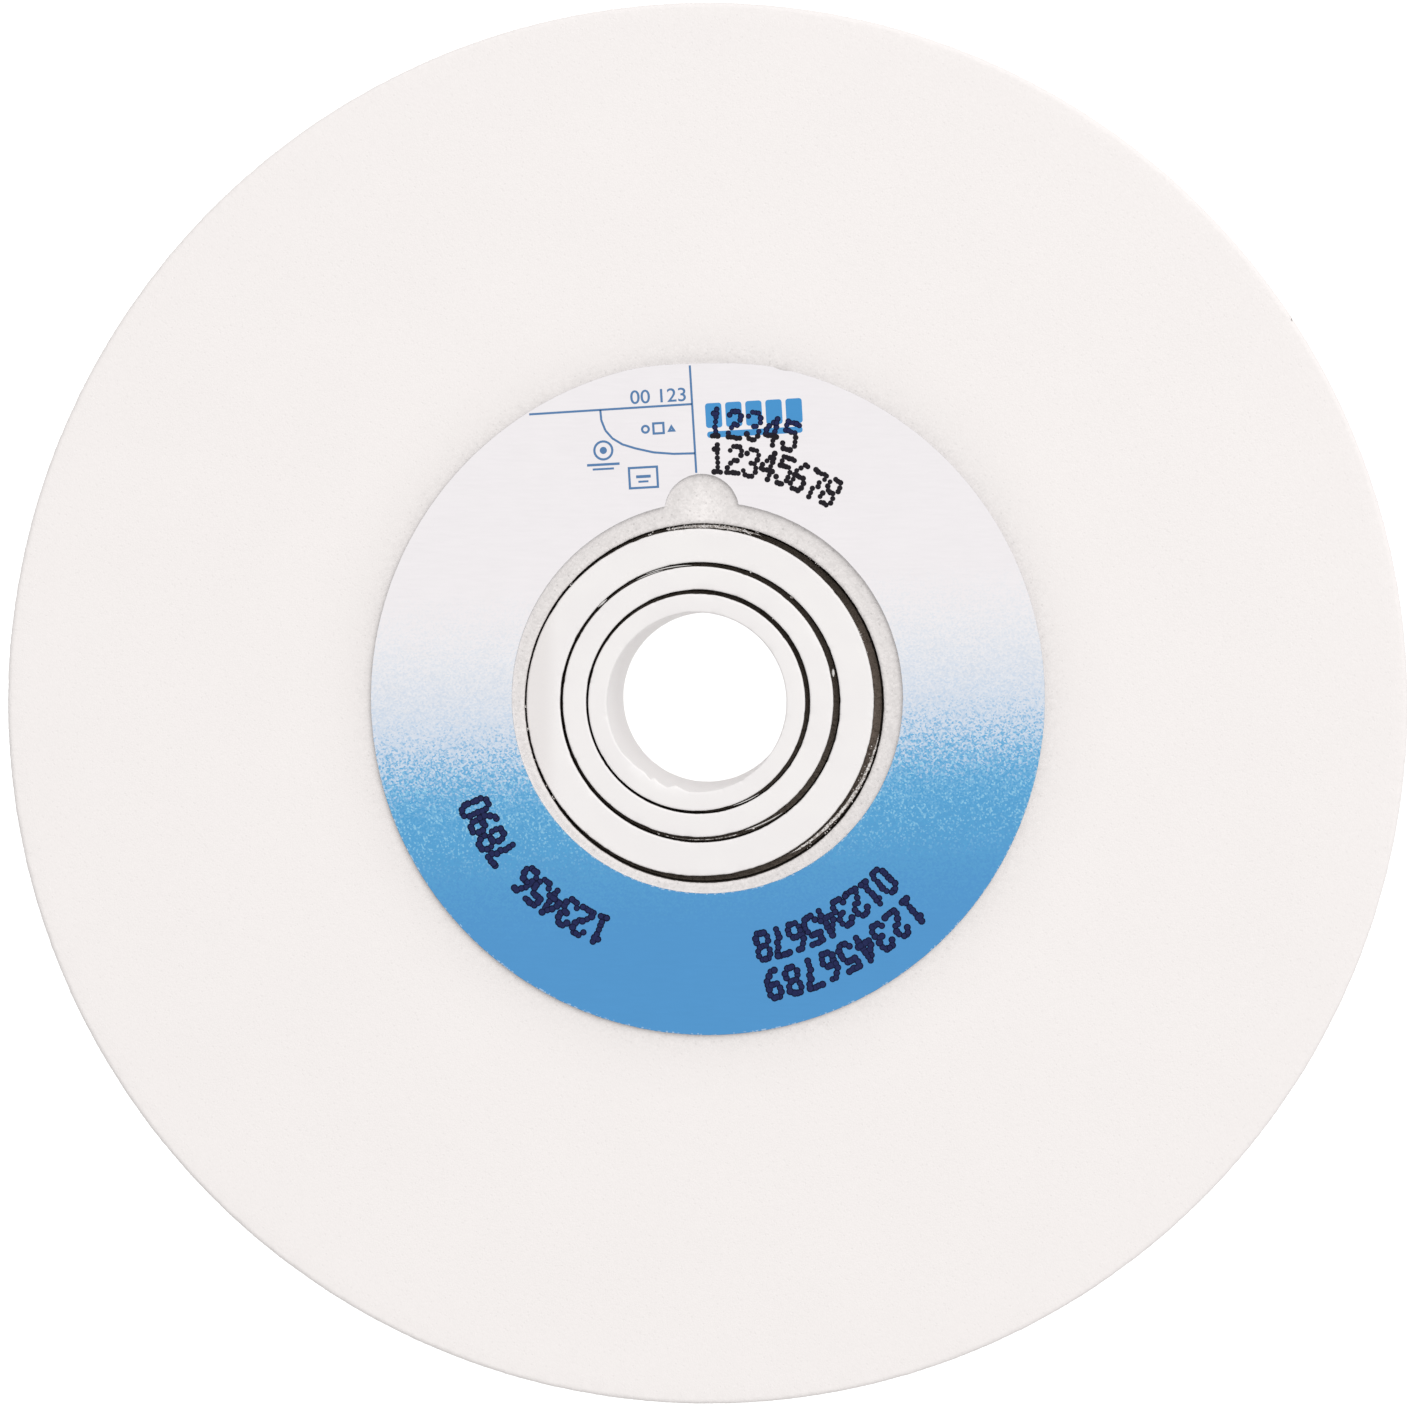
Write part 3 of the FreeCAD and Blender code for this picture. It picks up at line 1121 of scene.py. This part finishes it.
# Ribbons of dust, crumbs and threads: the gap, the angles and the shares across it from and to which each
# reaches, then in millimetres half the width and the depth, or for crumbs their count and largest size.
dust_rows = (
    (0, -60, -10, 0.25, 0.80, 0.20, 0.08),
    (0, 70, 101, 0.55, 0.45, 0.19, 0.15),
    (1, 256, 286, 0.50, 0.50, 0.05, 0.15),
)
crumb_rows = (
    (0, -56, -13, 0.25, 0.85, 70, 0.085),
    (0, 72, 100, 0.10, 0.90, 90, 0.080),
    (0, 100.4, 101.6, 0.2, 0.8, 4, 0.10),
    (0, 106.4, 107.4, 0.2, 0.8, 3, 0.10),
    (0, 137.3, 138.1, 0.3, 0.7, 2, 0.09),
    (0, 181.0, 181.8, 0.3, 0.7, 2, 0.09),
    (0, 188.2, 189.2, 0.3, 0.7, 3, 0.09),
    (0, 198.5, 199.2, 0.3, 0.7, 2, 0.08),
    (0, 207.8, 208.8, 0.3, 0.7, 3, 0.09),
    (0, 212.0, 213.0, 0.3, 0.7, 3, 0.09),
    (0, 49, 60, 0.90, 1.0, 9, 0.09),
    (0, 16, 28, 0.0, 0.12, 9, 0.07),
    (1, 68.4, 69.2, 0.8, 1.0, 2, 0.08),
    (1, 48.0, 49.0, 0.7, 1.0, 3, 0.09),
    (1, -67.6, -66.4, 0.2, 0.6, 3, 0.08),
    (1, 252.4, 253.4, 0.3, 0.7, 2, 0.08),
    (2, 47.8, 48.6, 0.8, 1.0, 2, 0.06),
)
thread_rows = (
    (1, 93, 113, 0.30, 0.75, 0.045, 0.06),
    (1, 105, 117, 0.20, 0.35, 0.040, 0.08),
    (1, 132, 137, 0.60, 0.80, 0.080, 0.15),
    (1, 10.5, 14, 0.35, 0.55, 0.120, 0.05),
    (1, -70, -53, 0.25, 0.60, 0.055, 0.06),
    (2, -71, -56, 0.30, 0.60, 0.040, 0.06),
)

packs = [pack_dust("pack", gap, top - dust_depth, top) for gap, top in enumerate(dust_tops)]
packed_dust_and_shade = join("packed_dust_and_shade", packs)
packed_material, tree, shader = start_material("Packed dust and painted shade", 0.9)
place = object_place(tree)
mottle = noise(tree, place, 0.6 * MM, 3.0)
brown = mix_colours(tree, mottle, (0.145, 0.108, 0.086, 1), (0.235, 0.190, 0.158, 1))
# Painted shade: the packed dust is dark brown to stand for the shade deep in the gaps, darker still on the
# left.
less_shaded_side = rise(tree, along_axis(tree, place, "X"), 12 * MM, 14.5 * MM)
colour = mix_colours(tree, less_shaded_side, (0.115, 0.092, 0.074, 1), brown)
paint(tree, shader, colour)
emboss(tree, shader, mottle, 0.05 * MM, 0.6)
packed_dust_and_shade.data.materials.append(packed_material)
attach(packed_dust_and_shade, "root")

ribbons = [lay_thread(*row) for row in dust_rows]
for ribbon in ribbons:
    wear(ribbon, "crumbly", lambda place: 1.0, "CLOUDS", 0.25 * MM, 0.08 * MM, contrast=2.0)
loose_dust = join("loose_dust", ribbons + drop_crumbs(crumb_rows, crumb_seed))
dust_material, tree, shader = start_material("Loose grinding dust", 0.85)
place = object_place(tree)
each = cell_values(tree, cells(tree, place, 0.13 * MM))[0]
patches = noise(tree, place, 0.9 * MM)
tone = scale_add(tree, patches, 0.5, calculate(tree, "MULTIPLY", each, 0.7))
colour = ramp(tree, tone, (
    (0.15, (0.13, 0.10, 0.08, 1)),
    (0.45, (0.42, 0.38, 0.35, 1)),
    (0.80, (0.80, 0.77, 0.75, 1)),
))
paint(tree, shader, colour)
emboss(tree, shader, each, 0.03 * MM, 0.5)
loose_dust.data.materials.append(dust_material)
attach(loose_dust, "root")

plastic_threads = join("plastic_threads", [lay_thread(*row) for row in thread_rows])
thread_material, tree, shader = start_material("Scraped plastic", 0.5)
streaks = noise(tree, object_place(tree), 0.3 * MM)
colour = mix_colours(tree, streaks, (0.42, 0.40, 0.38, 1), (0.82, 0.80, 0.79, 1))
paint(tree, shader, colour)
emboss(tree, shader, streaks, 0.02 * MM, 0.5)
plastic_threads.data.materials.append(thread_material)
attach(plastic_threads, "root")


# Stage: a white table under the wheel that glows to the camera as a light table does, but not in the gaps
# between the rings. A large soft lamp stands off to the upper right, in a pale room.
glow_from = 8.9 * MM
glow_past = 61 * MM
table_drop = 0.02 * MM
set_down()
bpy.ops.mesh.primitive_plane_add(size=4.0, location=(0, 0, -table_drop))
table = bpy.context.object
table.name = "table"
bpy.ops.object.transform_apply()
table_material, tree, shader = start_material("White table", 0.8)
shader.inputs["Base Color"].default_value = shade(0.62)
from_axis = distance_from(tree, object_place(tree))
in_hole = calculate(tree, "LESS_THAN", from_axis, glow_from)
past_rim = calculate(tree, "GREATER_THAN", from_axis, glow_past)
open_to_view = calculate(tree, "MAXIMUM", in_hole, past_rim)
path = node(tree, "ShaderNodeLightPath")
# Painted light: under the bore the table also glows to all other rays and lights the bore wall from below.
to_others = calculate(tree, "MULTIPLY", in_hole, 0.49)
glow = rise(tree, path.outputs["Is Camera Ray"], 0.0, 1.0, to_others, 0.85, course="LINEAR")
tree.links.new(calculate(tree, "MULTIPLY", glow, open_to_view), shader.inputs["Emission Strength"])
shader.inputs["Emission Color"].default_value = shade(1.0)
table.data.materials.append(table_material)

world = bpy.data.worlds.new("Pale room")
bpy.context.scene.world = world
world.use_nodes = True
background = world.node_tree.nodes["Background"]
background.inputs["Color"].default_value = shade(1.0)
background.inputs["Strength"].default_value = 0.632

lamp_distance = 4200 * MM
lamp_tilt = math.radians(38)
lamp_turn = math.radians(50)
lamp = bpy.data.lights.new("soft_lamp", "AREA")
lamp.shape = "DISK"
lamp.size = 4200 * MM
lamp.energy = 105.7
lamp_object = bpy.data.objects.new("soft_lamp", lamp)
bpy.context.scene.collection.objects.link(lamp_object)
lamp_object.location = (
    lamp_distance * math.sin(lamp_tilt) * math.cos(lamp_turn),
    lamp_distance * math.sin(lamp_tilt) * math.sin(lamp_turn),
    wheel_face + lamp_distance * math.cos(lamp_tilt),
)
lamp_object.rotation_euler = (-lamp_object.location).to_track_quat("-Z", "Y").to_euler()

bpy.context.scene.view_settings.view_transform = "Standard"


# Camera: above the printed face and a little to its upper right, turned half back towards the axis. The
# rest of the framing is shift, which keeps the wheel round.
photo_width = 1412
camera_distance = 303 * MM
camera_x = 15.7 * MM
camera_y = 7.8 * MM
camera_turn = math.radians(1.5)
outline_zoom = 1.0046
outline_shift_x = 0.0016
outline_shift_y = -0.0005
face_span = photo_width * photo_pixel / outline_zoom
camera = bpy.data.cameras.new("camera")
camera.sensor_fit = "HORIZONTAL"
camera.sensor_width = 36.0
camera.clip_start = 0.01
camera.lens = camera.sensor_width * camera_distance / face_span
camera.shift_x = outline_shift_x - (camera_x - camera_distance * math.tan(camera_turn)) / face_span
camera.shift_y = outline_shift_y - camera_y / face_span
camera_object = bpy.data.objects.new("camera", camera)
bpy.context.scene.collection.objects.link(camera_object)
camera_object.location = (camera_x, camera_y, wheel_face + camera_distance)
camera_object.rotation_euler = (0, camera_turn, 0)
bpy.context.scene.camera = camera_object
